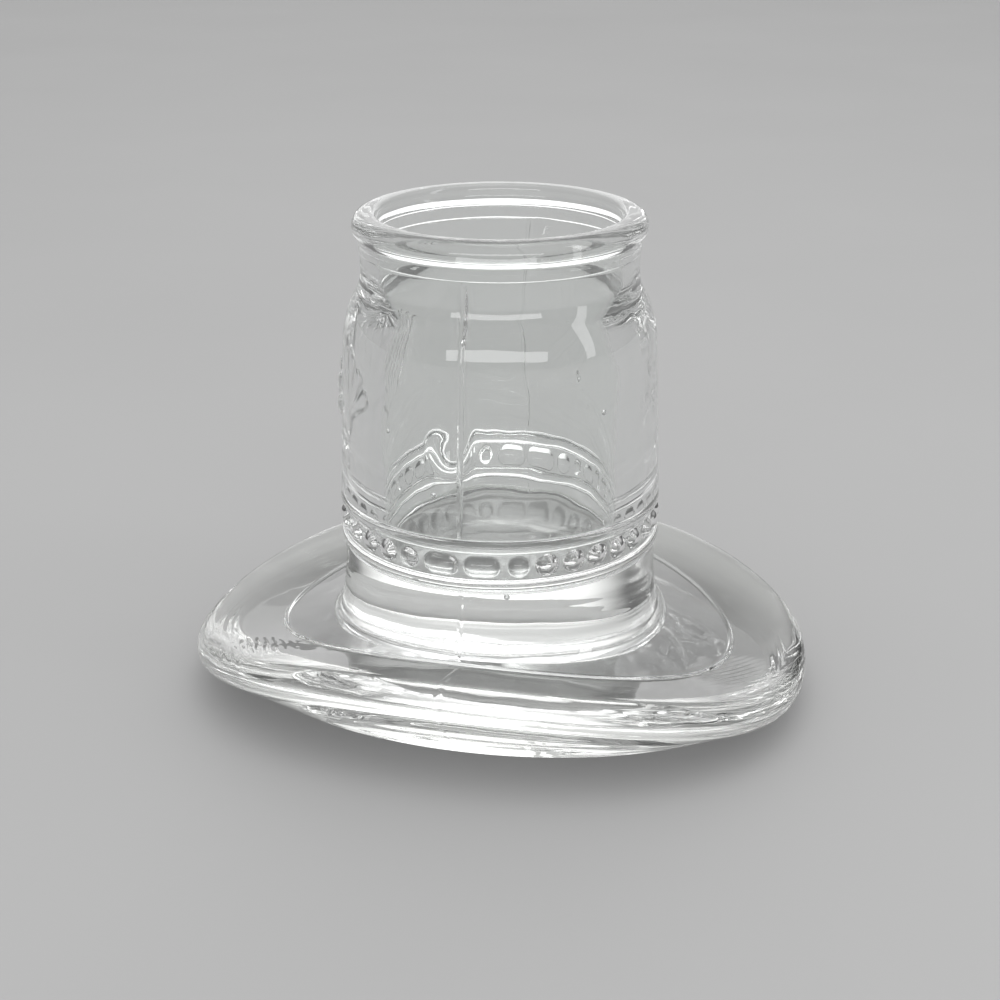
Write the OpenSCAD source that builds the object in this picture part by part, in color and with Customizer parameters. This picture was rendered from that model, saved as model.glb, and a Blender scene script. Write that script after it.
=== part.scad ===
// Small clear glass hat with a round open crown, a beaded hat band and a saddle-shaped oval brim.
// Units are millimetres. The origin is on the table at the middle of the base, with +Z up.
// X runs along the brim: the hat's front is at -X and its back at +X. The mould seams lie in the plane X = 0.

/* [Lip] */
// Outer radius of the rolled lip
lip_radius = 19.5; // [19.2:0.1:20.6]
// Height of the rolled lip
lip_height = 3.6; // [2.8:0.1:4.4]
// Rounding of the lip's inner top edge
mouth_round = 1; // [0.4:0.1:1.4]

/* [Well] */
// Radius of the well in the crown
well_radius = 16.2; // [15:0.1:16.8]
// Distance from the band's foot down to the well's floor
floor_drop = 0.6; // [0.3:0.1:3]
// Width of the sloped corner between the well's floor and its wall
corner_width = 0.4; // [0.2:0.1:0.6]
// Height of the sloped corner between the well's floor and its wall
corner_height = 1.2; // [1:0.1:2]

/* [Neck] */
// Outer radius of the neck
neck_radius = 18.5; // [18:0.1:18.8]
// Height of the plain neck
neck_height = 2.6; // [1.6:0.1:4]
// How far the neck ring stands out from the neck
neck_ring_proud = 0.15; // [0.1:0.05:0.3]
// Height of the neck ring
neck_ring_height = 1.5; // [1:0.1:2.5]

/* [Crown] */
// Radius of the crown wall below the shoulder
wall_top_radius = 21.1; // [20.4:0.1:21.4]
// Radius of the crown wall above the band
wall_foot_radius = 22; // [21.8:0.1:22.6]
// Height of the crown wall
wall_height = 20.4; // [19:0.1:26]
// Height of the shoulder
shoulder_height = 9.9; // [9:0.1:12]
// Radius of the shoulder's outward round
shoulder_round = 13.8; // [8:0.1:14.5]

/* [Band] */
// Radius of the sunk strip between the cords
band_radius = 21.4; // [21.1:0.1:21.7]
// Height of the band
band_height = 7.4; // [6.6:0.1:9]
// Radius of each cord's round section
cord_radius = 0.85; // [0.6:0.05:1]
// How far the cords stand out from the sunk strip
cord_proud = 0.65; // [0.4:0.05:0.8]
// Distance from each edge of the band to the middle of its cord
cord_inset = 1.05; // [1:0.05:1.2]
// Radius of each bead's round section
bead_radius = 1.5; // [1.1:0.05:1.6]
// How far the beads stand out from the sunk strip
bead_proud = 0.8; // [0.5:0.05:1]
// Number of round beads on each half of the band
beads_per_half = 15; // [11:1:17]
// Angle from the seam to the first round bead
first_bead_angle = 20; // [19:0.5:24]
// Angle from the seam to the middle of the oblong bead beside it
oblong_bead_angle = 7.2; // [6.8:0.1:8.6]
// Angle between the ends' middles of an oblong bead
oblong_bead_span = 5.3; // [3:0.1:5.6]

/* [Base] */
// Height of the band's foot above the table
base_height = 22; // [22:0.1:25]
// How far the solid base stands out from the band's sunk strip
base_proud = 0.2; // [0.1:0.1:0.6]
// Length of the flat underside
underside_length = 76; // [68:0.5:80]
// Width of the flat underside
underside_width = 48; // [46:0.5:52]

/* [Deck] */
// Length of the deck, to the welt
deck_length = 64.2; // [58:0.1:68]
// Width of the deck, to the welt
deck_width = 49; // [48:0.5:56]
// Height of the deck's edge at the sides
deck_side_height = 13; // [12:0.1:15]
// How far the deck's middle lies behind the crown's axis
deck_offset = 0.9; // [0:0.1:1.2]
// Drop of the deck's edge from the sides to the ends
deck_end_drop = 5.8; // [3:0.1:6]
// Rise of the deck from its edge to the flare
deck_rise = 0.4; // [0.1:0.1:1.5]
// Share of the deck's width at the sides that the flare up to the crown takes
flare_share = 0.75; // [0.4:0.01:0.8]
// Distance from the band's foot down to the top of the flare at the sides
flare_drop = 0.6; // [0.3:0.1:3]

/* [Brim] */
// Length of the brim
brim_length = 87; // [80:0.5:96]
// Width of the brim
brim_width = 68.4; // [64:0.5:76]
// Squareness of the brim's outline, where 1 is an ellipse
brim_outline = 0.88; // [0.8:0.01:1]
// Radius of the brim's rounded edge
edge_radius = 2.7; // [2:0.1:3.2]
// Height of the middle of the edge at the sides
edge_side_height = 11.2; // [10:0.1:12.5]
// Drop of the edge from the sides to the ends
edge_end_drop = 6.5; // [4:0.1:7]
// Angle below the level at which the edge turns into the flank
edge_turn = 52; // [40:1:65]

/* [Welt] */
// Width of the fine raised line round the deck
welt_width = 0.9; // [0.6:0.05:1.4]
// Height of the fine raised line round the deck
welt_height = 0.4; // [0.2:0.05:0.6]

/* [Cockade] */
// Height of the cockade's boss above the band
cockade_rise = 8; // [5:0.1:9.5]
// Radius of the cockade's boss
boss_radius = 2.3; // [1.6:0.1:2.8]
// Distance from the boss to the middle of each petal's tip
petal_reach = 9; // [7:0.1:9.6]
// Radius of each petal's tip
petal_tip = 1.35; // [1:0.05:1.4]
// Number of petals
petal_count = 7; // [5:2:7]
// Angle between petals
petal_angle = 20; // [19:0.5:22]
// How far the cockade stands out from the wall
cockade_proud = 0.7; // [0.4:0.05:1]

/* [Seams] */
// Width of the mould seams
seam_width = 0.6; // [0.3:0.05:1]
// How far the mould seams stand out
seam_proud = 0.18; // [0.1:0.02:0.3]

/* [Hidden] */
$fn = 96;
glass = [0.86, 0.91, 0.89, 0.6];
relief_glass = [0.74, 0.84, 0.82, 0.7];
fine_sides = 720;
arc_steps = 10;
ring_steps = 96;
lap = 1;

// Radius of the solid base
base_radius = band_radius + base_proud;

// Levels, from the table up
band_foot = base_height;
well_floor = band_foot - floor_drop;
wall_foot = band_foot + band_height;
wall_top = wall_foot + wall_height;
neck_foot = wall_top + shoulder_height;
ring_foot = neck_foot + neck_height;
lip_foot = ring_foot + neck_ring_height;
lip_top = lip_foot + lip_height;
upper_cord_level = wall_foot - cord_inset;
lower_cord_level = band_foot + cord_inset;
bead_level = (upper_cord_level + lower_cord_level) / 2;

// Outline of the crown wall
wall_line = [[wall_foot_radius, wall_foot], [wall_top_radius, wall_top]];

// The shoulder is two arcs that run upright at both ends and meet at one slope
shoulder_step = wall_top_radius - neck_radius;
shoulder_turn = 2 * atan(shoulder_step / shoulder_height);
shoulder_fillet = shoulder_height / sin(shoulder_turn) - shoulder_round;
shoulder_out = [
    for (i = [0:arc_steps])
    let (a = shoulder_turn * i / arc_steps)
    [wall_top_radius - shoulder_round + shoulder_round * cos(a), wall_top + shoulder_round * sin(a)]
];
shoulder_in = [
    for (i = [1:arc_steps])
    let (a = shoulder_turn * (1 - i / arc_steps))
    [neck_radius + shoulder_fillet - shoulder_fillet * cos(a), neck_foot - shoulder_fillet * sin(a)]
];
shoulder_outline = concat(shoulder_out, shoulder_in, [[neck_radius, ring_foot]]);

// Rings of the brim: each is a level oval bent down towards the hat's front and back
function power(v, p) = sign(v) * pow(abs(v), p);
function bent_ring(length, width, outline, height, drop) = [
    for (i = [0:ring_steps - 1])
    let (t = 360 * i / ring_steps)
    [length / 2 * power(cos(t), outline), width / 2 * power(sin(t), outline), height - drop * pow(cos(t), 2)]
];
function midway(ring_a, ring_b) = (ring_a + ring_b) / 2;
function towards(ring_a, ring_b, reach) = [
    for (i = [0:ring_steps - 1])
    let (step = ring_b[i] - ring_a[i])
    ring_a[i] + step * reach / norm(step)
];
function moved(ring, step) = [for (p = ring) p + step];

deck_flare = flare_share * (deck_width / 2 - base_radius);
flare_height = base_height - flare_drop - deck_side_height - deck_rise;
flare_rings = [
    for (i = [0:arc_steps])
    let (a = 90 * i / arc_steps)
    let (r = base_radius + deck_flare * (1 - cos(a)))
    bent_ring(2 * r, 2 * r, 1, deck_side_height + deck_rise + flare_height * (1 - sin(a)),
        deck_end_drop * pow(2 * r / deck_length, 2))
];
deck_oval = bent_ring(deck_length, deck_width, 1, deck_side_height, deck_end_drop);
deck_edge = moved(deck_oval, [deck_offset, 0, 0]);
underside = bent_ring(underside_length, underside_width, 1, 0, 0);
base_foot = bent_ring(2 * base_radius, 2 * base_radius, 1, 0, 0);
edge_rings = [
    for (i = [0:arc_steps])
    let (a = 90 - (90 + edge_turn) * i / arc_steps)
    let (out = 2 * edge_radius * (1 - cos(a)))
    bent_ring(brim_length - out, brim_width - out, brim_outline, edge_side_height + edge_radius * sin(a),
        edge_end_drop)
];
welt_in = towards(deck_edge, flare_rings[arc_steps], welt_width / 2);
welt_out = towards(deck_edge, edge_rings[0], welt_width / 2);
welt_crest = moved(deck_edge, [0, 0, welt_height]);

// A ring-shaped solid whose section is the closed outline that the rings pass through
module ring_solid(rings) {
    n = len(rings);
    points = [for (ring = rings, p = ring) p];
    faces = [
        for (k = [0:n - 1], i = [0:ring_steps - 1])
        let (j = (i + 1) % ring_steps)
        let (m = (k + 1) % n)
        each [
            [k * ring_steps + i, m * ring_steps + i, k * ring_steps + j],
            [k * ring_steps + j, m * ring_steps + i, m * ring_steps + j]
        ]
    ];
    polyhedron(points, faces);
}

// A turned solid round the well
module turned(outline) {
    rotate_extrude() polygon(concat(
        [[well_radius, outline[0][1]]], outline, [[well_radius, outline[len(outline) - 1][1]]]));
}

// A thin skin over an outline, for relief that stands out from it
function skin(outline, proud) = concat(
    outline, [for (i = [len(outline) - 1:-1:0]) outline[i] + [proud, 0]]);

module lip() {
    bead = lip_height / 2;
    color(glass) rotate_extrude() difference() {
        union() {
            translate([lip_radius - bead, lip_foot + bead]) circle(bead);
            translate([well_radius, lip_foot]) square([lip_radius - bead - well_radius, lip_height]);
        }
        translate([0, lip_foot - lap]) square([well_radius, lip_height + 2 * lap]);
        translate([well_radius, lip_top - mouth_round]) difference() {
            translate([-lap, 0]) square([mouth_round + lap, mouth_round + lap]);
            translate([mouth_round, 0]) circle(mouth_round);
        }
    }
}

module neck_ring() {
    r = neck_radius + neck_ring_proud;
    color(glass) turned([[r, ring_foot], [r, lip_foot]]);
}

module shoulder() {
    color(glass) turned(shoulder_outline);
}

module crown_wall() {
    color(glass) turned(wall_line);
}

// Half-round section of a cord or a bead that stands out from the sunk strip
module relief_section(radius, proud, level) {
    difference() {
        translate([band_radius + proud - radius, level]) circle(radius);
        translate([0, level - radius - lap]) square([band_radius, 2 * (radius + lap)]);
    }
}

module cord(level) {
    color(relief_glass) rotate_extrude() relief_section(cord_radius, cord_proud, level);
}

module upper_cord() {
    cord(upper_cord_level);
}

module lower_cord() {
    cord(lower_cord_level);
}

module band_strip() {
    color(glass) rotate_extrude() polygon([
        [well_radius - corner_width, well_floor],
        [base_radius, well_floor],
        [base_radius, band_foot],
        [band_radius, band_foot],
        [band_radius, wall_foot],
        [well_radius, wall_foot],
        [well_radius, well_floor + corner_height]
    ]);
}

module round_bead(angle) {
    rotate(angle) difference() {
        translate([band_radius + bead_proud - bead_radius, 0, bead_level]) sphere(bead_radius);
        cylinder(r = band_radius, h = wall_foot, $fn = fine_sides);
    }
}

module oblong_bead(angle) {
    reach = band_radius * sin(oblong_bead_span / 2);
    turn = oblong_bead_span + 4 * asin(bead_radius / band_radius);
    rotate(angle) intersection() {
        rotate(-turn / 2) rotate_extrude(angle = turn) relief_section(bead_radius, bead_proud, bead_level);
        translate([0, 0, bead_level]) rotate([90, 0, 90]) linear_extrude(2 * band_radius) union() {
            for (side = [-1, 1]) translate([side * reach, 0]) circle(bead_radius);
            square([2 * reach, 2 * bead_radius], center = true);
        }
    }
}

module band_beads() {
    pitch = (180 - 2 * first_bead_angle) / (beads_per_half - 1);
    color(relief_glass) for (seam = [90, 270]) {
        for (i = [0:beads_per_half - 1]) round_bead(seam + first_bead_angle + i * pitch);
        for (side = [-1, 1]) oblong_bead(seam + side * oblong_bead_angle);
    }
}

module base() {
    color(glass) cylinder(r = base_radius, h = well_floor);
}

module deck() {
    color(glass) ring_solid(concat(flare_rings, [deck_edge, underside, base_foot]));
}

module welt() {
    crest_in = midway(moved(welt_in, [0, 0, welt_height]), welt_crest);
    crest_out = midway(moved(welt_out, [0, 0, welt_height]), welt_crest);
    color(relief_glass) ring_solid([welt_in, crest_in, crest_out, welt_out, deck_edge]);
}

module brim() {
    color(glass) ring_solid(concat([deck_edge], edge_rings, [underside]));
}

module petal(angle) {
    rotate(angle) {
        translate([0, petal_reach]) circle(petal_tip);
        polygon([
            [-petal_tip / 2, 0], [petal_tip / 2, 0],
            [petal_tip, petal_reach], [-petal_tip, petal_reach]
        ]);
    }
}

module cockade() {
    level = wall_foot + cockade_rise;
    color(relief_glass) intersection() {
        rotate_extrude() polygon(skin(wall_line, cockade_proud));
        translate([0, 0, level]) rotate([90, 0, -90]) linear_extrude(2 * wall_foot_radius) union() {
            circle(boss_radius);
            for (i = [0:petal_count - 1]) petal((i - (petal_count - 1) / 2) * petal_angle);
        }
    }
}

module seam(angle) {
    span = 2 * asin(seam_width / 2 / wall_top_radius);
    color(relief_glass) rotate(angle - span / 2) rotate_extrude(angle = span) union() {
        polygon(skin(wall_line, seam_proud));
        polygon(skin(shoulder_outline, seam_proud));
    }
}

module left_seam() {
    seam(-90);
}

module right_seam() {
    seam(90);
}

lip();
neck_ring();
shoulder();
crown_wall();
upper_cord();
lower_cord();
band_strip();
band_beads();
base();
deck();
welt();
brim();
cockade();
left_seam();
right_seam();
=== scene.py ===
import math

import bmesh
import bpy
import numpy as np
from mathutils import Matrix, Vector


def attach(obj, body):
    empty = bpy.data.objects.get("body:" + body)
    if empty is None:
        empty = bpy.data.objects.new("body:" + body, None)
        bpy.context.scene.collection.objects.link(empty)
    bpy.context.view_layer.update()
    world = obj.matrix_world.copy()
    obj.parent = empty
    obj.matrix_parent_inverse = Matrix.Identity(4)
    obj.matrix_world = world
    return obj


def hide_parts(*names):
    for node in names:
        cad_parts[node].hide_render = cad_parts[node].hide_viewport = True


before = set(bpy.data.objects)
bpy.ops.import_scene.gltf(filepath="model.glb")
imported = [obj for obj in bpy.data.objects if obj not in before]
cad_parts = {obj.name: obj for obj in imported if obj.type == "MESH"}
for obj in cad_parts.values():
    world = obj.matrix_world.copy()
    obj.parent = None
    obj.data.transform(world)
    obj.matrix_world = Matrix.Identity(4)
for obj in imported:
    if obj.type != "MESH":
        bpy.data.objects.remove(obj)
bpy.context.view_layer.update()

# All lengths of the hat are in millimetres, and become metres when a mesh is placed.
MM = 0.001
COLUMNS = 720
SEAM_CROWDING = 0.2
LEFT_SEAM = -math.pi / 2
RIGHT_SEAM = math.pi / 2

# Lip, neck and well
LIP_RADIUS, LIP_BEAD = 19.5, 1.8
WELL_RADIUS, WELL_FLOOR, WELL_CORNER, FLOOR_CROWN = 16.2, 21.4, 0.8, 0.3
MOUTH_ROUND = 1.0
NECK_RADIUS, NECK_RING_RADIUS = 18.5, 18.65

# Crown and band
WALL_TOP_RADIUS, WALL_FOOT_RADIUS = 21.1, 22.0
SHOULDER_ROUND = 13.8
BAND_RADIUS = 21.4
CORD_RADIUS, CORD_PROUD, CORD_INSET = 0.85, 0.65, 1.05
BEAD_RADIUS, BEAD_PROUD = 1.5, 0.8
BEADS_PER_HALF, FIRST_BEAD, OBLONG_BEAD, OBLONG_SPAN = 15, 20.0, 7.2, 5.3

# Base, deck and brim
BASE_RADIUS = 21.6
UNDERSIDE_LENGTH, UNDERSIDE_WIDTH = 76.0, 48.0
DECK_LENGTH, DECK_WIDTH, DECK_OFFSET = 64.2, 49.0, 0.9
DECK_SIDE_HEIGHT, DECK_END_DROP, DECK_RISE = 13.0, 5.8, 0.4
DECK_FLARE, FLARE_HEIGHT, FLARE_LEAN = 2.175, 8.0, 0.5
BRIM_LENGTH, BRIM_WIDTH, BRIM_OUTLINE = 86.98, 68.08, 0.88
EDGE_RADIUS, EDGE_SIDE_HEIGHT, EDGE_END_DROP, EDGE_TURN = 2.7, 11.2, 6.5, 52.0
WELT_WIDTH, WELT_HEIGHT = 0.9, 0.4

# Levels, from the table up
BAND_FOOT, WALL_FOOT, WALL_TOP, NECK_FOOT = 22.0, 29.4, 49.8, 59.7
RING_FOOT, LIP_FOOT, LIP_TOP = 62.3, 63.8, 67.4
UPPER_CORD_LEVEL = WALL_FOOT - CORD_INSET
LOWER_CORD_LEVEL = BAND_FOOT + CORD_INSET
BEAD_LEVEL = (UPPER_CORD_LEVEL + LOWER_CORD_LEVEL) / 2

# Seams on the brim, swelling of the well behind the seams, and waves of the surface
RIB_HALF_WIDTH, RIB_PROUD = 0.3, 0.14
SWELL_HALF_WIDTH, SWELL_PROUD, SWELL_SHIFT, SWELL_FADE = 3.2, 0.9, 2.2, (35.5, 41.5)
WELL_WAVES, WALL_WAVES, FLOW_LINES = 0.08, 0.02, 0.05
WAVE_RATE_ACROSS, WAVE_RATE_UP, FLOW_RATE_ACROSS, FLOW_RATE_ALONG = 0.3, 0.22, 3.4, 5
WALL_SEED, FLOW_SEED, FLOW_COUNT = 3, 8, 9
FLOOR_EASE, LIP_EASE, SKIN_SLACK = 4, 6, 0.1

# Roundings and bends of the sections
LIP_TURN, RING_SLOPE, FOOT_ROUND, WALL_FOOT_ROUND, FOOT_REACH = -58, 0.15, 0.1, 0.3, 0.5
FLOOR_BEND, FLOOR_BEND_ROUND = 8.0, 3.0
HOLLOW_BEND, HOLLOW_RISE, HOLLOW_BEND_ROUND, HOLLOW_HEIGHT = 10.0, 0.45, 6.0, 0.55
WELT_SHARPNESS = 1.5

# Spacing of the rings, and the steps of the rounded sections
FINE, FLANK_SPACING, WALL_SPACING, DECK_SPACING, MIDDLING = 0.2, 0.25, 0.3, 0.35, 0.4
EVEN, PLAIN, UNDER_SPACING = 0.5, 0.8, 0.9
EDGE_SPACING, BEAD_SPACING = 0.12, 0.14
LIP_STEPS, SHOULDER_STEPS, CORD_STEPS, FLARE_STEPS, WELT_STEPS, EDGE_STEPS = 24, 20, 17, 25, 15, 30

# Relief
COCKADE_LEVEL, COCKADE_PROUD, BOSS_RADIUS = 37.4, 0.7, 2.3
PETALS, PETAL_ANGLE, PETAL_REACH, PETAL_TIP = 7, 20.0, 9.0, 1.35
PETAL_PROUD, PETAL_ROOT = 0.85 * COCKADE_PROUD, 2.0
SEAM_HALF_WIDTH, SEAM_PROUD = 0.32, 0.18
SEAM_FOOT_GAP, SEAM_TOP_GAP, SEAM_END = 0.4, 0.2, 0.6
BEADS, COCKADE, SEAM_LEFT, SEAM_RIGHT = 1, 2, 3, 4
LEAST_RELIEF = 0.003
MERGE, TRIM, SAME_PLACE, JOINT_WEIGHT = LEAST_RELIEF / 10, 1e-4, LEAST_RELIEF / 5, 1e-6

# Seed bubbles in the glass: piece, place and radius
SEEDS = (("crown_wall", (15.4, -10.6, 44.4), 0.34), ("crown_wall", (-10.1, -15.7, 41.5), 0.28),
         ("crown_wall", (-3.9, -18.2, 34.2), 0.36), ("crown_wall", (9.6, 16.2, 40.0), 0.3),
         ("base", (-7.0, -9.0, 19.6), 0.4), ("base", (3.5, -11.5, 18.8), 0.35),
         ("base", (8.0, -5.0, 19.8), 0.3))

GLASS, JOINT = 0, 1


# Rings: every ring of the skin is an oval that may be bent down towards the hat's front and back.
# Its points are crowded towards the two mould seams.
column_turn = 2 * math.pi * np.arange(COLUMNS) / COLUMNS
TURN = column_turn + SEAM_CROWDING * np.sin(2 * column_turn)
COS, SIN = np.cos(TURN), np.sin(TURN)


def oval(length, width, outline, height, drop=0.0):
    return np.stack([length / 2 * np.sign(COS) * np.abs(COS) ** outline,
                     width / 2 * np.sign(SIN) * np.abs(SIN) ** outline,
                     height - drop * COS ** 2], axis=1)


def circle(radius, height):
    return oval(2 * radius, 2 * radius, 1.0, height)


def gap(a, b):
    return np.linalg.norm(a - b, axis=1).max()


def towards(a, b, reach):
    """The points of a ring moved a given distance towards those of another."""
    step = b - a
    return a + step * reach / np.linalg.norm(step, axis=1, keepdims=True)


def straight(a, b, spacing):
    steps = max(1, math.ceil(gap(a, b) / spacing))
    return [a + (b - a) * i / steps for i in range(1, steps + 1)]


def rounded(a, corner, b, steps=6):
    shares = [i / steps for i in range(1, steps + 1)]
    return [a * (1 - s) ** 2 + 2 * corner * s * (1 - s) + b * s * s for s in shares]


def trace(corners, spacing):
    """Rings along a line of corners, each a ring and how far from it its rounding starts."""
    rings = [corners[0][0]]
    for i in range(1, len(corners)):
        ring, reach = corners[i]
        if reach == 0 or i == len(corners) - 1:
            rings += straight(rings[-1], ring, spacing)
            continue
        start, end = towards(ring, rings[-1], reach), towards(ring, corners[i + 1][0], reach)
        rings += straight(rings[-1], start, spacing)
        rings += rounded(start, ring, end)
    return rings


def ribbed(ring, slope):
    """A ring of the brim with the mould seams' fine rib, standing out along a slope."""
    rib = RIB_PROUD * np.sqrt(np.clip(1 - (ring[:, 0] / RIB_HALF_WIDTH) ** 2, 0, 1))
    out, up = np.sign(ring[:, 1]) * rib * math.cos(slope), rib * math.sin(slope)
    return ring + np.stack([0 * rib, out, up], axis=1)


# The rings that more than one piece shares

def flare_ring(angle):
    lean, share = FLARE_LEAN * SIN ** 2, angle / (math.pi / 2)
    r = BASE_RADIUS + DECK_FLARE * ((1 - lean) * (1 - math.cos(angle)) + lean * share)
    rise = (1 - lean) * (1 - math.sin(angle)) + lean * (1 - share)
    height = DECK_SIDE_HEIGHT + DECK_RISE + FLARE_HEIGHT * rise
    return ribbed(oval(2 * r, 2 * r, 1.0, height, DECK_END_DROP * (2 * r / DECK_LENGTH) ** 2), angle)


def edge_ring(angle):
    out = 2 * EDGE_RADIUS * (1 - math.cos(angle))
    ring = oval(BRIM_LENGTH - out, BRIM_WIDTH - out, BRIM_OUTLINE,
                EDGE_SIDE_HEIGHT + EDGE_RADIUS * math.sin(angle), EDGE_END_DROP)
    return ribbed(ring, angle)


flare_top, flare_foot = flare_ring(0), flare_ring(math.pi / 2)
edge_top, edge_foot = edge_ring(math.pi / 2), edge_ring(-math.radians(EDGE_TURN))
deck_edge = oval(DECK_LENGTH, DECK_WIDTH, 1.0, DECK_SIDE_HEIGHT, DECK_END_DROP) + (DECK_OFFSET, 0, 0)
underside = oval(UNDERSIDE_LENGTH, UNDERSIDE_WIDTH, 1.0, 0.0)
base_foot = circle(BASE_RADIUS, 0.0)
welt_in = towards(deck_edge, flare_foot, WELT_WIDTH / 2)
welt_out = towards(deck_edge, edge_top, WELT_WIDTH / 2)
cord_foot = math.sqrt(CORD_RADIUS ** 2 - (CORD_RADIUS - CORD_PROUD) ** 2)


def well(top, bottom, spacing=PLAIN):
    return trace([(circle(WELL_RADIUS, top), 0), (circle(WELL_RADIUS, bottom), 0)], spacing)


# Unevenness of the pressed surface

def waves(fields, seed, count=7):
    """A smooth uneven field over coordinates in radians, about -1 to 1."""
    rng = np.random.default_rng(seed)
    total = np.zeros(np.shape(fields[0]))
    for _ in range(count):
        total += np.sin(sum(rng.uniform(-1, 1) * field for field in fields) + rng.uniform(0, 2 * math.pi))
    return total / math.sqrt(count)


def eased(value, low, high):
    share = np.clip((value - low) / (high - low), 0, 1)
    return share * share * (3 - 2 * share)


def uneven(co):
    """Waves of the crown's outside and of the well, and the swelling of the well along each seam."""
    x, y, z = co.T
    radius = np.maximum(np.hypot(x, y), 1e-9)
    swell = waves((WAVE_RATE_ACROSS * x, WAVE_RATE_ACROSS * y, WAVE_RATE_UP * z), WALL_SEED)
    aside = np.abs(x - SWELL_SHIFT * np.sign(y))
    ridge = np.cos(math.pi / 2 * np.clip(aside / SWELL_HALF_WIDTH, 0, 1)) ** 2
    ridge *= eased(z, *SWELL_FADE)
    under_lip = eased(-z, -LIP_FOOT, -LIP_FOOT + LIP_EASE)
    corner_top = WELL_FLOOR + WELL_CORNER
    reach = eased(z, corner_top, corner_top + FLOOR_EASE) * under_lip
    inside = (radius < WELL_RADIUS + SKIN_SLACK) & (radius > WELL_RADIUS - SKIN_SLACK)
    outside = (radius > NECK_RADIUS - SKIN_SLACK) & (z > BAND_FOOT)
    step = np.where(inside, reach * (WELL_WAVES * swell - SWELL_PROUD * ridge), 0)
    step = np.where(outside, WALL_WAVES * swell * under_lip, step)
    return co * np.stack([1 + step / radius, 1 + step / radius, np.ones(len(x))], axis=1)


def striated(rings):
    """The flank with the long flow lines that the glass kept as it filled the mould."""
    run = np.cumsum([0] + [np.linalg.norm(b - a, axis=1).mean() for a, b in zip(rings, rings[1:])])
    lined = []
    for ring, along in zip(rings, run):
        fade = math.sin(math.pi * along / run[-1])
        fields = (np.full(COLUMNS, along * FLOW_RATE_ACROSS), FLOW_RATE_ALONG * COS, FLOW_RATE_ALONG * SIN)
        line = waves(fields, FLOW_SEED, FLOW_COUNT)
        radius = np.hypot(ring[:, 0], ring[:, 1])
        push = 1 + FLOW_LINES * fade * line / radius
        lined.append(ring * np.stack([push, push, np.ones(COLUMNS)], axis=1))
    return lined


# Sections: runs of rings, where every run but the last is joined to the next by a joint face.

def lip_section():
    middle, level = LIP_RADIUS - LIP_BEAD, LIP_FOOT + LIP_BEAD
    roll = [math.radians(a) for a in np.linspace(LIP_TURN, 90, LIP_STEPS)]
    outer = [(circle(NECK_RING_RADIUS, LIP_FOOT), 0)]
    outer += [(circle(middle + LIP_BEAD * math.cos(a), level + LIP_BEAD * math.sin(a)), 0) for a in roll]
    outer += [(circle(WELL_RADIUS, LIP_TOP), MOUTH_ROUND), (circle(WELL_RADIUS, LIP_FOOT), 0)]
    return [trace(outer, EVEN)]


def neck_ring_section():
    outer = [(circle(NECK_RADIUS, RING_FOOT), 0),
             (circle(NECK_RING_RADIUS, RING_FOOT + RING_SLOPE), FOOT_ROUND),
             (circle(NECK_RING_RADIUS, LIP_FOOT), 0)]
    return [trace(outer, MIDDLING), well(LIP_FOOT, RING_FOOT)]


def shoulder_section():
    step, height = WALL_TOP_RADIUS - NECK_RADIUS, NECK_FOOT - WALL_TOP
    turn = 2 * math.atan(step / height)
    fillet = height / math.sin(turn) - SHOULDER_ROUND
    angles = np.linspace(0, turn, SHOULDER_STEPS)
    outer = [(circle(WALL_TOP_RADIUS - SHOULDER_ROUND * (1 - math.cos(a)),
                     WALL_TOP + SHOULDER_ROUND * math.sin(a)), 0) for a in angles]
    outer += [(circle(NECK_RADIUS + fillet * (1 - math.cos(a)), NECK_FOOT - fillet * math.sin(a)), 0)
              for a in angles[-2::-1]]
    outer += [(circle(NECK_RADIUS, RING_FOOT), 0)]
    return [trace(outer, MIDDLING), well(RING_FOOT, WALL_TOP)]


def crown_wall_section():
    outer = [(circle(BAND_RADIUS, WALL_FOOT), 0), (circle(WALL_FOOT_RADIUS, WALL_FOOT), WALL_FOOT_ROUND),
             (circle(WALL_TOP_RADIUS, WALL_TOP), 0)]
    return [trace(outer, WALL_SPACING), well(WALL_TOP, WALL_FOOT)]


def band_strip_section():
    edges = [BAND_FOOT, LOWER_CORD_LEVEL - cord_foot, LOWER_CORD_LEVEL + cord_foot,
             UPPER_CORD_LEVEL - cord_foot, UPPER_CORD_LEVEL + cord_foot, WALL_FOOT]
    low, mid, high = [
        trace([(circle(BAND_RADIUS, edges[i]), 0), (circle(BAND_RADIUS, edges[i + 1]), 0)], spacing)
        for i, spacing in ((0, EDGE_SPACING), (2, BEAD_SPACING), (4, EDGE_SPACING))]
    foot = trace([(circle(BASE_RADIUS, WELL_FLOOR), 0),
                  (circle(BASE_RADIUS, BAND_FOOT), FOOT_ROUND), (low[0], 0)], FINE)
    inner = trace([(circle(WELL_RADIUS, WALL_FOOT), 0), (circle(WELL_RADIUS, WELL_FLOOR), WELL_CORNER),
                   (circle(WELL_RADIUS - WELL_CORNER, WELL_FLOOR), 0)], PLAIN)
    return [foot + low[1:], mid, high, inner]


def cord_section(level):
    half = math.asin(cord_foot / CORD_RADIUS)
    middle = BAND_RADIUS + CORD_PROUD - CORD_RADIUS
    return [[circle(middle + CORD_RADIUS * math.cos(a), level + CORD_RADIUS * math.sin(a))
             for a in np.linspace(-half, half, CORD_STEPS)]]


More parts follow.
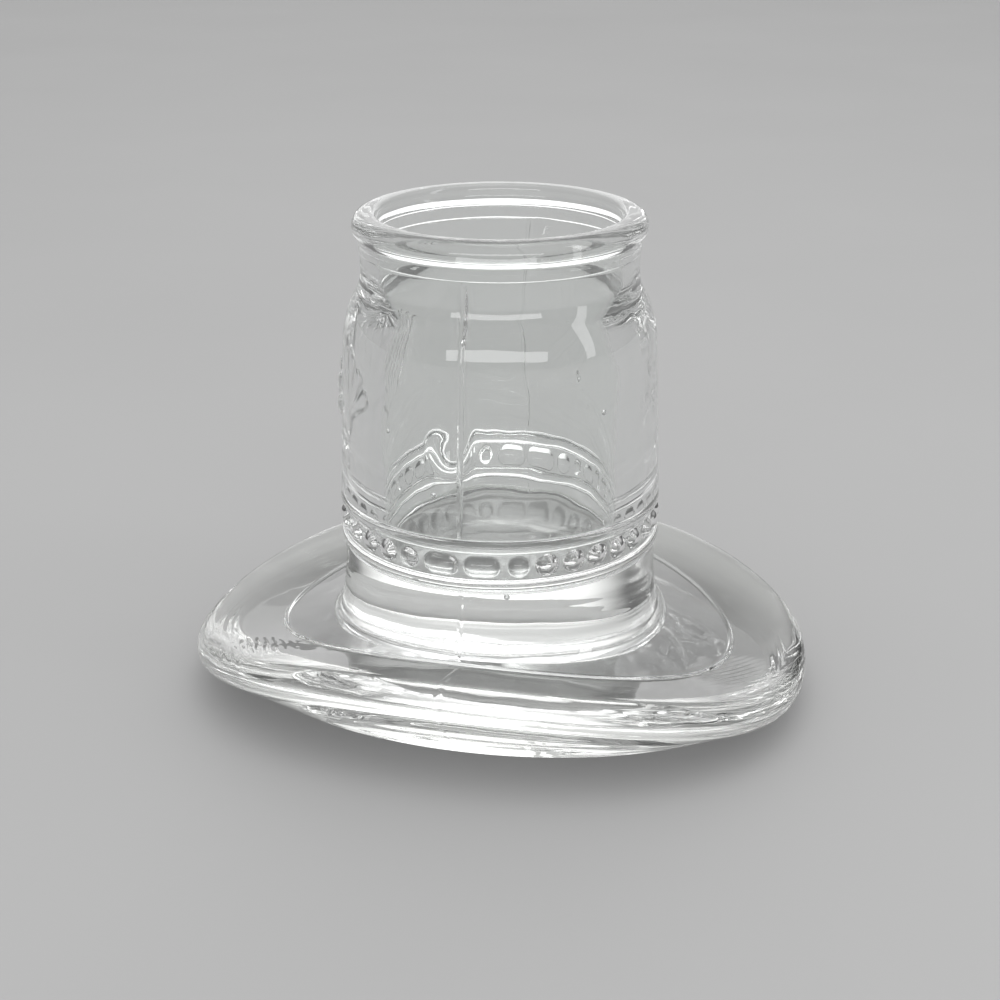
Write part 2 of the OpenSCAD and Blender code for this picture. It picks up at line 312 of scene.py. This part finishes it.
def base_section():
    floor = [(circle(0.0, WELL_FLOOR + FLOOR_CROWN), 0),
             (circle(FLOOR_BEND, WELL_FLOOR + FLOOR_CROWN / 2), FLOOR_BEND_ROUND),
             (circle(WELL_RADIUS - WELL_CORNER, WELL_FLOOR), 0)]
    outer = [(circle(BASE_RADIUS, WELL_FLOOR), 0), (flare_top, 0)]
    under = [(base_foot, 0), (circle(HOLLOW_BEND, HOLLOW_RISE), HOLLOW_BEND_ROUND),
             (circle(0.0, HOLLOW_HEIGHT), 0)]
    return [trace(floor, EVEN), trace(outer, MIDDLING), trace(under, PLAIN)]


def deck_section():
    top = [(flare_ring(a), 0) for a in np.linspace(0, math.pi / 2, FLARE_STEPS)] + [(welt_in, 0)]
    return [trace(top, DECK_SPACING), [deck_edge], trace([(underside, 0), (base_foot, 0)], UNDER_SPACING)]


def welt_section():
    crest = []
    for s in np.linspace(-1, 1, WELT_STEPS):
        ring = deck_edge + ((welt_in if s < 0 else welt_out) - deck_edge) * abs(s)
        crest.append(ring + (0, 0, WELT_HEIGHT * math.cos(math.pi / 2 * s) ** WELT_SHARPNESS))
    return [crest, [deck_edge]]


def brim_section():
    top = trace([(welt_out, 0), (edge_top, 0)], MIDDLING)
    edge = [edge_ring(a) for a in np.linspace(math.pi / 2, -math.radians(EDGE_TURN), EDGE_STEPS)]
    foot_corner = oval(UNDERSIDE_LENGTH + 2 * FOOT_REACH, UNDERSIDE_WIDTH + 2 * FOOT_REACH, 1.0, 0.0)
    flank = trace([(edge_foot, 0), (foot_corner, FOOT_REACH), (underside, 0)], FLANK_SPACING)
    return [[deck_edge], top + edge[1:-1] + striated(flank)]


# Relief that stands out from the turned skin, in millimetres

def blended(height, foot=0.2):
    """The larger of a height and nothing, with a small fillet where they meet."""
    near = np.clip(foot - np.abs(height), 0, None)
    return np.where(height < -foot, 0, np.maximum(height, 0) + near ** 2 / (4 * foot))


def bead_relief(x, y, z):
    turn = np.degrees(np.arctan2(y, x))
    pitch = (180 - 2 * FIRST_BEAD) / (BEADS_PER_HALF - 1)
    places = []
    for seam in (90, 270):
        places += [(seam + FIRST_BEAD + i * pitch, 0) for i in range(BEADS_PER_HALF)]
        places += [(seam + side * OBLONG_BEAD, OBLONG_SPAN / 2) for side in (-1, 1)]
    height = np.full(len(x), -BEAD_RADIUS)
    for angle, span in places:
        off = np.abs((turn - angle + 180) % 360 - 180)
        across = np.radians(np.clip(off - span, 0, None)) * BAND_RADIUS
        square = across ** 2 + (z - BEAD_LEVEL) ** 2
        cap = np.sqrt(np.clip(BEAD_RADIUS ** 2 - square, 0, None)) + BEAD_PROUD - BEAD_RADIUS
        height = np.maximum(height, cap)
    return blended(height)


def cockade_relief(x, y, z):
    up = z - COCKADE_LEVEL
    height = np.zeros(len(x))
    for i in range(PETALS):
        angle = math.radians((i - (PETALS - 1) / 2) * PETAL_ANGLE)
        along = y * math.sin(angle) + up * math.cos(angle)
        across = y * math.cos(angle) - up * math.sin(angle)
        share = np.clip(along / PETAL_REACH, 0, 1)
        half = PETAL_TIP * (1 + share) / 2
        off = np.hypot(across, along - share * PETAL_REACH)
        dome = np.clip(1 - (off / half) ** 2, 0, 1)
        height = np.maximum(height, PETAL_PROUD * np.sqrt(dome) * np.clip(along / PETAL_ROOT, 0, 1))
    boss = np.clip(1 - (np.hypot(y, up) / BOSS_RADIUS) ** 2, 0, 1)
    height = np.maximum(height, COCKADE_PROUD * np.sqrt(boss))
    return np.where(x < 0, height, 0)


def seam_relief(x, y, z, seam):
    radius = np.hypot(x, y)
    off = np.abs((np.arctan2(y, x) - seam + math.pi) % (2 * math.pi) - math.pi) * radius
    rib = np.sqrt(np.clip(1 - (off / SEAM_HALF_WIDTH) ** 2, 0, 1))
    foot = np.clip((z - WALL_FOOT - SEAM_FOOT_GAP) / SEAM_END, 0, 1)
    ends = foot * np.clip((RING_FOOT - SEAM_TOP_GAP - z) / SEAM_END, 0, 1)
    return SEAM_PROUD * rib * ends


# Meshes

def turned_mesh(name, section):
    """Rolls a grid into one closed skin over a section's rings; faces between its runs are joint faces."""
    rings = np.stack([ring for run in section for ring in run])
    closed = np.abs(rings[0][:, :2]).max() > 0
    ends = np.cumsum([len(run) for run in section])
    rows = len(rings) if closed else len(rings) - 1
    bm = bmesh.new()
    bmesh.ops.create_grid(bm, x_segments=COLUMNS, y_segments=rows, size=1)
    mesh = bpy.data.meshes.new(name)
    bm.to_mesh(mesh)
    bm.free()
    co = coordinates(mesh)
    column = np.rint((co[:, 0] + 1) / 2 * COLUMNS).astype(int) % COLUMNS
    row = np.rint((co[:, 1] + 1) / 2 * rows).astype(int)
    mesh.vertices.foreach_set("co", uneven(rings[row % len(rings), column]).ravel())
    face_row = row[quads(mesh)].min(axis=1)
    kinds = np.where(np.isin(face_row + 1, ends), JOINT, GLASS)
    mesh.polygons.foreach_set("material_index", kinds.astype(np.int32))
    return mesh


def quads(mesh):
    corners = np.empty(len(mesh.polygons) * 4, dtype=np.int32)
    mesh.polygons.foreach_get("vertices", corners)
    return corners.reshape(-1, 4)


def coordinates(mesh):
    co = np.empty(len(mesh.vertices) * 3)
    mesh.vertices.foreach_get("co", co)
    return co.reshape(-1, 3)


def mark_relief(mesh, fields):
    """Stores each field's height on the mesh, and turns the faces that it covers into joint faces."""
    x, y, z = coordinates(mesh).T
    outer = np.hypot(x, y) > (WELL_RADIUS + NECK_RADIUS) / 2
    kind = mesh.attributes.new("relief_kind", "INT", "FACE")
    height = mesh.attributes.new("relief_height", "FLOAT", "POINT")
    corners = quads(mesh)
    material = np.empty(len(mesh.polygons), dtype=np.int32)
    mesh.polygons.foreach_get("material_index", material)
    kinds, heights = np.zeros(len(mesh.polygons), dtype=np.int32), np.zeros(len(x))
    for number, field in fields:
        h = np.where(outer, field(x, y, z), 0)
        h[h < LEAST_RELIEF] = 0
        covered = (h[corners] > 0).any(axis=1) & (material == GLASS)
        inner = np.ones(len(x), dtype=bool)
        inner[corners[~covered].ravel()] = False
        kinds[covered] = number
        heights = np.where(inner, np.maximum(h, LEAST_RELIEF), heights)
    material[kinds > 0] = JOINT
    mesh.polygons.foreach_set("material_index", material)
    kind.data.foreach_set("value", kinds)
    height.data.foreach_set("value", heights)


def relief_mesh(name, sources, number):
    """A closed piece of relief: the covered faces raised by their height, and the faces under them."""
    bm = bmesh.new()
    for mesh in sources:
        bm.from_mesh(mesh)
    kind = bm.faces.layers.int["relief_kind"]
    height = bm.verts.layers.float["relief_height"]
    bmesh.ops.delete(bm, geom=[f for f in bm.faces if f[kind] != number], context="FACES")
    bmesh.ops.remove_doubles(bm, verts=bm.verts[:], dist=TRIM)
    back = bm.faces[:]
    copied = bmesh.ops.duplicate(bm, geom=bm.verts[:] + bm.edges[:] + back)["geom"]
    for part in copied:
        if isinstance(part, bmesh.types.BMVert):
            radius = math.hypot(part.co.x, part.co.y)
            part.co.x *= 1 + part[height] / radius
            part.co.y *= 1 + part[height] / radius
        elif isinstance(part, bmesh.types.BMFace):
            part.material_index = GLASS
    bmesh.ops.reverse_faces(bm, faces=back)
    bmesh.ops.remove_doubles(bm, verts=bm.verts[:], dist=MERGE)
    mesh = bpy.data.meshes.new(name)
    bm.to_mesh(mesh)
    bm.free()
    return mesh


def finish_mesh(mesh):
    """Merges poles, points the faces outwards and brings the mesh to metres."""
    bm = bmesh.new()
    bm.from_mesh(mesh)
    bmesh.ops.remove_doubles(bm, verts=bm.verts[:], dist=MERGE)
    bmesh.ops.recalc_face_normals(bm, faces=bm.faces[:])
    bmesh.ops.scale(bm, vec=(MM, MM, MM), verts=bm.verts[:])
    for face in bm.faces:
        face.smooth = True
    bm.to_mesh(mesh)
    bm.free()
    for layer in ("relief_kind", "relief_height"):
        if layer in mesh.attributes:
            mesh.attributes.remove(mesh.attributes[layer])


def add_seed(mesh, place, radius):
    """A bubble: a small sphere inside the glass whose faces look into the hollow."""
    bm = bmesh.new()
    bm.from_mesh(mesh)
    grown = bmesh.ops.create_icosphere(bm, subdivisions=3, radius=radius * MM,
                                       matrix=Matrix.Translation(Vector(place) * MM))["verts"]
    shell = list({face for vert in grown for face in vert.link_faces})
    bmesh.ops.reverse_faces(bm, faces=shell)
    for face in shell:
        face.smooth = True
        face.material_index = GLASS
    bm.to_mesh(mesh)
    bm.free()


def share_normals(meshes):
    """Gives the pieces one run of surface normals, so that the glass bends light evenly across joints."""
    places, pulls, counts = [], [], []
    for mesh in meshes:
        pull = np.zeros((len(mesh.vertices), 3))
        loops = np.empty(len(mesh.loops), dtype=np.int32)
        mesh.loops.foreach_get("vertex_index", loops)
        sizes = np.empty(len(mesh.polygons), dtype=np.int32)
        material = np.empty(len(mesh.polygons), dtype=np.int32)
        mesh.polygons.foreach_get("loop_total", sizes)
        mesh.polygons.foreach_get("material_index", material)
        normal, area = np.empty(len(mesh.polygons) * 3), np.empty(len(mesh.polygons))
        mesh.polygons.foreach_get("normal", normal)
        mesh.polygons.foreach_get("area", area)
        weight = normal.reshape(-1, 3) * (area * np.where(material == GLASS, 1, JOINT_WEIGHT))[:, None]
        np.add.at(pull, loops, np.repeat(weight, sizes, axis=0))
        places.append(np.rint(coordinates(mesh) / (MM * SAME_PLACE)).astype(np.int64))
        pulls.append(pull)
        counts.append(len(mesh.vertices))
    _, group = np.unique(np.concatenate(places), axis=0, return_inverse=True)
    group = group.ravel()
    pull = np.concatenate(pulls)
    total = np.zeros((group.max() + 1, 3))
    np.add.at(total, group, pull)
    total = total[group]
    total /= np.maximum(np.linalg.norm(total, axis=1), 1e-30)[:, None]
    start = 0
    for mesh, count in zip(meshes, counts):
        mesh.normals_split_custom_set_from_vertices(total[start:start + count].tolist())
        start += count


SECTIONS = {
    "lip": lip_section(),
    "neck_ring": neck_ring_section(),
    "shoulder": shoulder_section(),
    "crown_wall": crown_wall_section(),
    "band_strip": band_strip_section(),
    "upper_cord": cord_section(UPPER_CORD_LEVEL),
    "lower_cord": cord_section(LOWER_CORD_LEVEL),
    "base": base_section(),
    "deck": deck_section(),
    "welt": welt_section(),
    "brim": brim_section(),
}
meshes = {name: turned_mesh(name, section) for name, section in SECTIONS.items()}

seams = [(SEAM_LEFT, lambda x, y, z: seam_relief(x, y, z, LEFT_SEAM)),
         (SEAM_RIGHT, lambda x, y, z: seam_relief(x, y, z, RIGHT_SEAM))]
mark_relief(meshes["band_strip"], [(BEADS, bead_relief)])
mark_relief(meshes["crown_wall"], [(COCKADE, cockade_relief)] + seams)
mark_relief(meshes["shoulder"], seams)
meshes["band_beads"] = relief_mesh("band_beads", [meshes["band_strip"]], BEADS)
meshes["cockade"] = relief_mesh("cockade", [meshes["crown_wall"]], COCKADE)
meshes["left_seam"] = relief_mesh("left_seam", [meshes["crown_wall"], meshes["shoulder"]], SEAM_LEFT)
meshes["right_seam"] = relief_mesh("right_seam", [meshes["crown_wall"], meshes["shoulder"]], SEAM_RIGHT)
for mesh in meshes.values():
    finish_mesh(mesh)
for name, place, radius in SEEDS:
    add_seed(meshes[name], place, radius)
share_normals(list(meshes.values()))


# Materials: tints, roughness, and the scale and depth in millimetres of the surface's waves
CLEAR_LIGHT, CLEAR_DEEP, RELIEF_DEEP = (0.985, 0.99, 0.985), (0.955, 0.975, 0.962), (0.95, 0.972, 0.96)
BRIM_LIGHT, BRIM_DEEP = (0.985, 0.99, 0.98), (0.945, 0.965, 0.93)
GLASS_IOR, SHADOW_ALPHA, FOOT_ROUGHNESS = 1.52, 0.1, 0.07
WALL_BUMPS, RELIEF_BUMPS = (150, 0.12), (380, 0.08)
BUMP_DETAIL, BUMP_ROUGHNESS = 1.5, 0.4
DRIFT_SCALE, DRIFT_DETAIL, MARK_SCALE, MARK_DETAIL = 60, 2, 220, 6
HAZE_FROM, HAZE_TO, HAZE_MOST = 0.55, 0.8, 0.08

# The colour sockets of a Mix node
MIX_A, MIX_B, MIX_RESULT = 6, 7, 2

# Wrinkles of the brim: place, direction, reach and pitch; a wave texture's phase grows by WAVE_RATE
WRINKLES = (((-29.5, -20.5, 10.2), 25.0, 7.0, 1.1), ((33.5, -8.5, 7.9), -40.0, 8.0, 1.0))
WAVE_RATE, FOLD_DISTORTION, FOLD_DETAIL = 20, 1.5, 1


def new_material(name):
    material = bpy.data.materials.new(name)
    material.use_nodes = True
    nodes = material.node_tree.nodes
    return material, nodes, material.node_tree.links, nodes["Principled BSDF"]


def pressed_finish():
    """Faint tint, handling marks and waves of pressed glass over the surface."""
    group = bpy.data.node_groups.new("pressed_finish", "ShaderNodeTree")
    for name, kind in (("Light Tint", "NodeSocketColor"), ("Deep Tint", "NodeSocketColor"),
                       ("Least Roughness", "NodeSocketFloat"), ("Wave Scale", "NodeSocketFloat")):
        group.interface.new_socket(name, in_out="INPUT", socket_type=kind)
    for name, kind in (("Color", "NodeSocketColor"), ("Roughness", "NodeSocketFloat"),
                       ("Height", "NodeSocketFloat")):
        group.interface.new_socket(name, in_out="OUTPUT", socket_type=kind)
    nodes, links = group.nodes, group.links
    entry, leave = nodes.new("NodeGroupInput"), nodes.new("NodeGroupOutput")
    place = nodes.new("ShaderNodeTexCoord")
    drift = nodes.new("ShaderNodeTexNoise")
    drift.inputs["Scale"].default_value = DRIFT_SCALE
    drift.inputs["Detail"].default_value = DRIFT_DETAIL
    tint = nodes.new("ShaderNodeMix")
    tint.data_type = "RGBA"
    links.new(place.outputs["Object"], drift.inputs["Vector"])
    links.new(drift.outputs["Fac"], tint.inputs["Factor"])
    links.new(entry.outputs["Light Tint"], tint.inputs[MIX_A])
    links.new(entry.outputs["Deep Tint"], tint.inputs[MIX_B])
    links.new(tint.outputs[MIX_RESULT], leave.inputs["Color"])
    marks = nodes.new("ShaderNodeTexNoise")
    marks.inputs["Scale"].default_value = MARK_SCALE
    marks.inputs["Detail"].default_value = MARK_DETAIL
    haze = nodes.new("ShaderNodeMapRange")
    haze.inputs["From Min"].default_value = HAZE_FROM
    haze.inputs["From Max"].default_value = HAZE_TO
    haze.inputs["To Max"].default_value = HAZE_MOST
    rough = nodes.new("ShaderNodeMath")
    links.new(place.outputs["Object"], marks.inputs["Vector"])
    links.new(marks.outputs["Fac"], haze.inputs["Value"])
    links.new(haze.outputs["Result"], rough.inputs[0])
    links.new(entry.outputs["Least Roughness"], rough.inputs[1])
    links.new(rough.outputs["Value"], leave.inputs["Roughness"])
    wave = nodes.new("ShaderNodeTexNoise")
    wave.inputs["Detail"].default_value = BUMP_DETAIL
    wave.inputs["Roughness"].default_value = BUMP_ROUGHNESS
    links.new(place.outputs["Object"], wave.inputs["Vector"])
    links.new(entry.outputs["Wave Scale"], wave.inputs["Scale"])
    links.new(wave.outputs["Fac"], leave.inputs["Height"])
    return group


def brim_wrinkles():
    """Short wrinkles where the glass chilled as it reached the brim's ends."""
    group = bpy.data.node_groups.new("brim_wrinkles", "ShaderNodeTree")
    group.interface.new_socket("Height", in_out="OUTPUT", socket_type="NodeSocketFloat")
    nodes, links = group.nodes, group.links
    place, leave = nodes.new("ShaderNodeTexCoord"), nodes.new("NodeGroupOutput")
    total = None
    for spot, turn, reach, pitch in WRINKLES:
        shift = nodes.new("ShaderNodeVectorMath")
        shift.operation = "SUBTRACT"
        shift.inputs[1].default_value = Vector(spot) * MM
        links.new(place.outputs["Object"], shift.inputs[0])
        rotate = nodes.new("ShaderNodeMapping")
        rotate.inputs["Rotation"].default_value = (0, 0, -math.radians(turn))
        links.new(shift.outputs["Vector"], rotate.inputs["Vector"])
        fold = nodes.new("ShaderNodeTexWave")
        fold.inputs["Scale"].default_value = 2 * math.pi / (WAVE_RATE * pitch * MM)
        fold.inputs["Distortion"].default_value = FOLD_DISTORTION
        fold.inputs["Detail"].default_value = FOLD_DETAIL
        links.new(rotate.outputs["Vector"], fold.inputs["Vector"])
        away = nodes.new("ShaderNodeVectorMath")
        away.operation = "LENGTH"
        links.new(shift.outputs["Vector"], away.inputs[0])
        mask = nodes.new("ShaderNodeMapRange")
        mask.interpolation_type = "SMOOTHSTEP"
        mask.inputs["From Max"].default_value = reach * MM
        mask.inputs["To Min"].default_value = 1
        mask.inputs["To Max"].default_value = 0
        links.new(away.outputs["Value"], mask.inputs["Value"])
        patch = nodes.new("ShaderNodeMath")
        patch.operation = "MULTIPLY"
        links.new(fold.outputs["Fac"], patch.inputs[0])
        links.new(mask.outputs["Result"], patch.inputs[1])
        if total is None:
            total = patch
            continue
        both = nodes.new("ShaderNodeMath")
        links.new(total.outputs["Value"], both.inputs[0])
        links.new(patch.outputs["Value"], both.inputs[1])
        total = both
    links.new(total.outputs["Value"], leave.inputs["Height"])
    return group


def glass_material(name, finish, light, deep, least, scale, depth, wrinkles=None):
    material, nodes, links, shader = new_material(name)
    look = nodes.new("ShaderNodeGroup")
    look.node_tree = finish
    look.inputs["Light Tint"].default_value = (*light, 1)
    look.inputs["Deep Tint"].default_value = (*deep, 1)
    look.inputs["Least Roughness"].default_value = least
    look.inputs["Wave Scale"].default_value = scale
    bump = nodes.new("ShaderNodeBump")
    bump.inputs["Distance"].default_value = depth * MM
    bump.inputs["Strength"].default_value = 1
    links.new(look.outputs["Color"], shader.inputs["Base Color"])
    links.new(look.outputs["Roughness"], shader.inputs["Roughness"])
    links.new(look.outputs["Height"], bump.inputs["Height"])
    links.new(bump.outputs["Normal"], shader.inputs["Normal"])
    if wrinkles:
        folds, height = nodes.new("ShaderNodeGroup"), nodes.new("ShaderNodeMath")
        folds.node_tree = wrinkles
        links.new(look.outputs["Height"], height.inputs[0])
        links.new(folds.outputs["Height"], height.inputs[1])
        links.new(height.outputs["Value"], bump.inputs["Height"])
    shader.inputs["IOR"].default_value = GLASS_IOR
    shader.inputs["Transmission Weight"].default_value = 1
    rays = nodes.new("ShaderNodeLightPath")
    shade = nodes.new("ShaderNodeMapRange")
    shade.inputs["To Min"].default_value = 1
    shade.inputs["To Max"].default_value = SHADOW_ALPHA
    links.new(rays.outputs["Is Shadow Ray"], shade.inputs["Value"])
    links.new(shade.outputs["Result"], shader.inputs["Alpha"])
    return material


def joint_material():
    material, _, _, shader = new_material("joint_face")
    shader.inputs["Alpha"].default_value = 0
    return material


finish = pressed_finish()
clear_glass = glass_material("clear_glass", finish, CLEAR_LIGHT, CLEAR_DEEP, 0.0, *WALL_BUMPS)
relief_glass = glass_material("relief_glass", finish, CLEAR_LIGHT, RELIEF_DEEP, 0.0, *RELIEF_BUMPS)
brim_glass = glass_material("brim_glass", finish, BRIM_LIGHT, BRIM_DEEP, 0.0, *WALL_BUMPS, brim_wrinkles())
foot_glass = glass_material("foot_glass", finish, CLEAR_LIGHT, CLEAR_DEEP, FOOT_ROUGHNESS, *WALL_BUMPS)
joint_face = joint_material()

SPECIAL = {"brim": brim_glass, "base": foot_glass}
RELIEF = ("upper_cord", "lower_cord", "band_beads", "welt", "cockade", "left_seam", "right_seam")
for name, mesh in meshes.items():
    mesh.materials.append(relief_glass if name in RELIEF else SPECIAL.get(name, clear_glass))
    mesh.materials.append(joint_face)
    piece = bpy.data.objects.new("glass_" + name, mesh)
    bpy.context.scene.collection.objects.link(piece)
    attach(piece, "root")
    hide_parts(name)


# Stage, light and camera, in metres; the floor lies FLOOR_GAP millimetres under the hat
FLOOR_SIZE, FLOOR_GAP, FLOOR_DARK, FLOOR_LIGHT = 12, 0.15, 0.49, 0.53
GRAIN_SCALE, GRAIN_DETAIL, FLOOR_ROUGHNESS, FLOOR_SHINE = 9, 4, 0.7, 0.2

# Lamps: name, place, width, height and power
CROWN = (0, 0, 0.04)
LAMPS = (("top_light", (0.05, 0.1, 0.9), 0.6, 0.6, 1.3),
         ("front_light", (0.16, -0.88, 0.28), 1.3, 0.2, 3.6),
         ("side_light", (0.55, -0.1, 0.3), 0.1, 0.5, 0.5))

# The studio's walls brighten upwards, with a soft glow behind the hat, towards GLOW_WAY
SKY_LOW, SKY_HIGH, SKY_LEVELS = 0.1, 0.85, ((0.15, 0.1), (0.35, 0.25), (0.6, 0.6))
GLOW_WAY = Vector((-0.233, 0.972, 0.25)).normalized()
GLOW_EDGE, GLOW_CORE, GLOW_LEVEL = 0.76, 0.985, 1.3

CAMERA_PLACE, CAMERA_AIM = (0.0520, -0.2165, 0.1161), (0, 0, 0.0264)
LENS, SENSOR_WIDTH, CLIP_START = 61.9, 36, 0.01


def grey(level):
    return (level, level, level, 1)


def floor_material():
    material, nodes, links, shader = new_material("pale_floor")
    place = nodes.new("ShaderNodeTexCoord")
    grain = nodes.new("ShaderNodeTexNoise")
    grain.inputs["Scale"].default_value = GRAIN_SCALE
    grain.inputs["Detail"].default_value = GRAIN_DETAIL
    shade = nodes.new("ShaderNodeValToRGB")
    shade.color_ramp.elements[0].color = grey(FLOOR_DARK)
    shade.color_ramp.elements[1].color = grey(FLOOR_LIGHT)
    links.new(place.outputs["Object"], grain.inputs["Vector"])
    links.new(grain.outputs["Fac"], shade.inputs["Fac"])
    links.new(shade.outputs["Color"], shader.inputs["Base Color"])
    shader.inputs["Roughness"].default_value = FLOOR_ROUGHNESS
    shader.inputs["Specular IOR Level"].default_value = FLOOR_SHINE
    return material


bm = bmesh.new()
bmesh.ops.create_grid(bm, x_segments=1, y_segments=1, size=FLOOR_SIZE)
bmesh.ops.translate(bm, vec=(0, 0, -FLOOR_GAP * MM), verts=bm.verts[:])
floor_mesh = bpy.data.meshes.new("floor")
bm.to_mesh(floor_mesh)
bm.free()
floor_mesh.materials.append(floor_material())
panel = bpy.data.objects.new("floor", floor_mesh)
bpy.context.scene.collection.objects.link(panel)


def point_at(place, aim):
    return (Vector(aim) - Vector(place)).to_track_quat("-Z", "Y").to_euler()


for name, place, width, height, power in LAMPS:
    lamp = bpy.data.lights.new(name, "AREA")
    lamp.shape = "RECTANGLE"
    lamp.size, lamp.size_y, lamp.energy = width, height, power
    box = bpy.data.objects.new(name, lamp)
    bpy.context.scene.collection.objects.link(box)
    box.location = place
    box.rotation_euler = point_at(place, CROWN)

world = bpy.data.worlds.new("studio")
bpy.context.scene.world = world
world.use_nodes = True
sky_nodes, sky_links = world.node_tree.nodes, world.node_tree.links
sky_place = sky_nodes.new("ShaderNodeTexCoord")
sky_axis = sky_nodes.new("ShaderNodeSeparateXYZ")
sky_ramp = sky_nodes.new("ShaderNodeValToRGB")
for place, level in SKY_LEVELS:
    sky_ramp.color_ramp.elements.new(place).color = grey(level)
sky_ramp.color_ramp.elements[0].color = grey(SKY_LOW)
sky_ramp.color_ramp.elements[-1].color = grey(SKY_HIGH)
sky_links.new(sky_place.outputs["Generated"], sky_axis.inputs["Vector"])
sky_links.new(sky_axis.outputs["Z"], sky_ramp.inputs["Fac"])
sky_facing = sky_nodes.new("ShaderNodeVectorMath")
sky_facing.operation = "DOT_PRODUCT"
sky_facing.inputs[1].default_value = GLOW_WAY
sky_glow = sky_nodes.new("ShaderNodeMapRange")
sky_glow.interpolation_type = "SMOOTHSTEP"
sky_glow.inputs["From Min"].default_value = GLOW_EDGE
sky_glow.inputs["From Max"].default_value = GLOW_CORE
sky_glow.inputs["To Max"].default_value = GLOW_LEVEL
sky_sum = sky_nodes.new("ShaderNodeMath")
sky_links.new(sky_place.outputs["Generated"], sky_facing.inputs[0])
sky_links.new(sky_facing.outputs["Value"], sky_glow.inputs["Value"])
sky_links.new(sky_ramp.outputs["Color"], sky_sum.inputs[0])
sky_links.new(sky_glow.outputs["Result"], sky_sum.inputs[1])
sky_links.new(sky_sum.outputs["Value"], sky_nodes["Background"].inputs["Color"])

camera_data = bpy.data.cameras.new("camera")
camera_data.lens = LENS
camera_data.sensor_width = SENSOR_WIDTH
camera_data.clip_start = CLIP_START
camera = bpy.data.objects.new("camera", camera_data)
bpy.context.scene.collection.objects.link(camera)
camera.location = CAMERA_PLACE
camera.rotation_euler = point_at(CAMERA_PLACE, CAMERA_AIM)
scene = bpy.context.scene
scene.camera = camera
scene.view_settings.view_transform = "Standard"
scene.cycles.max_bounces = 40
scene.cycles.transmission_bounces = 32
scene.cycles.glossy_bounces = 16
scene.cycles.transparent_max_bounces = 64
scene.cycles.caustics_refractive = False
scene.cycles.caustics_reflective = False
scene.cycles.use_denoising = True
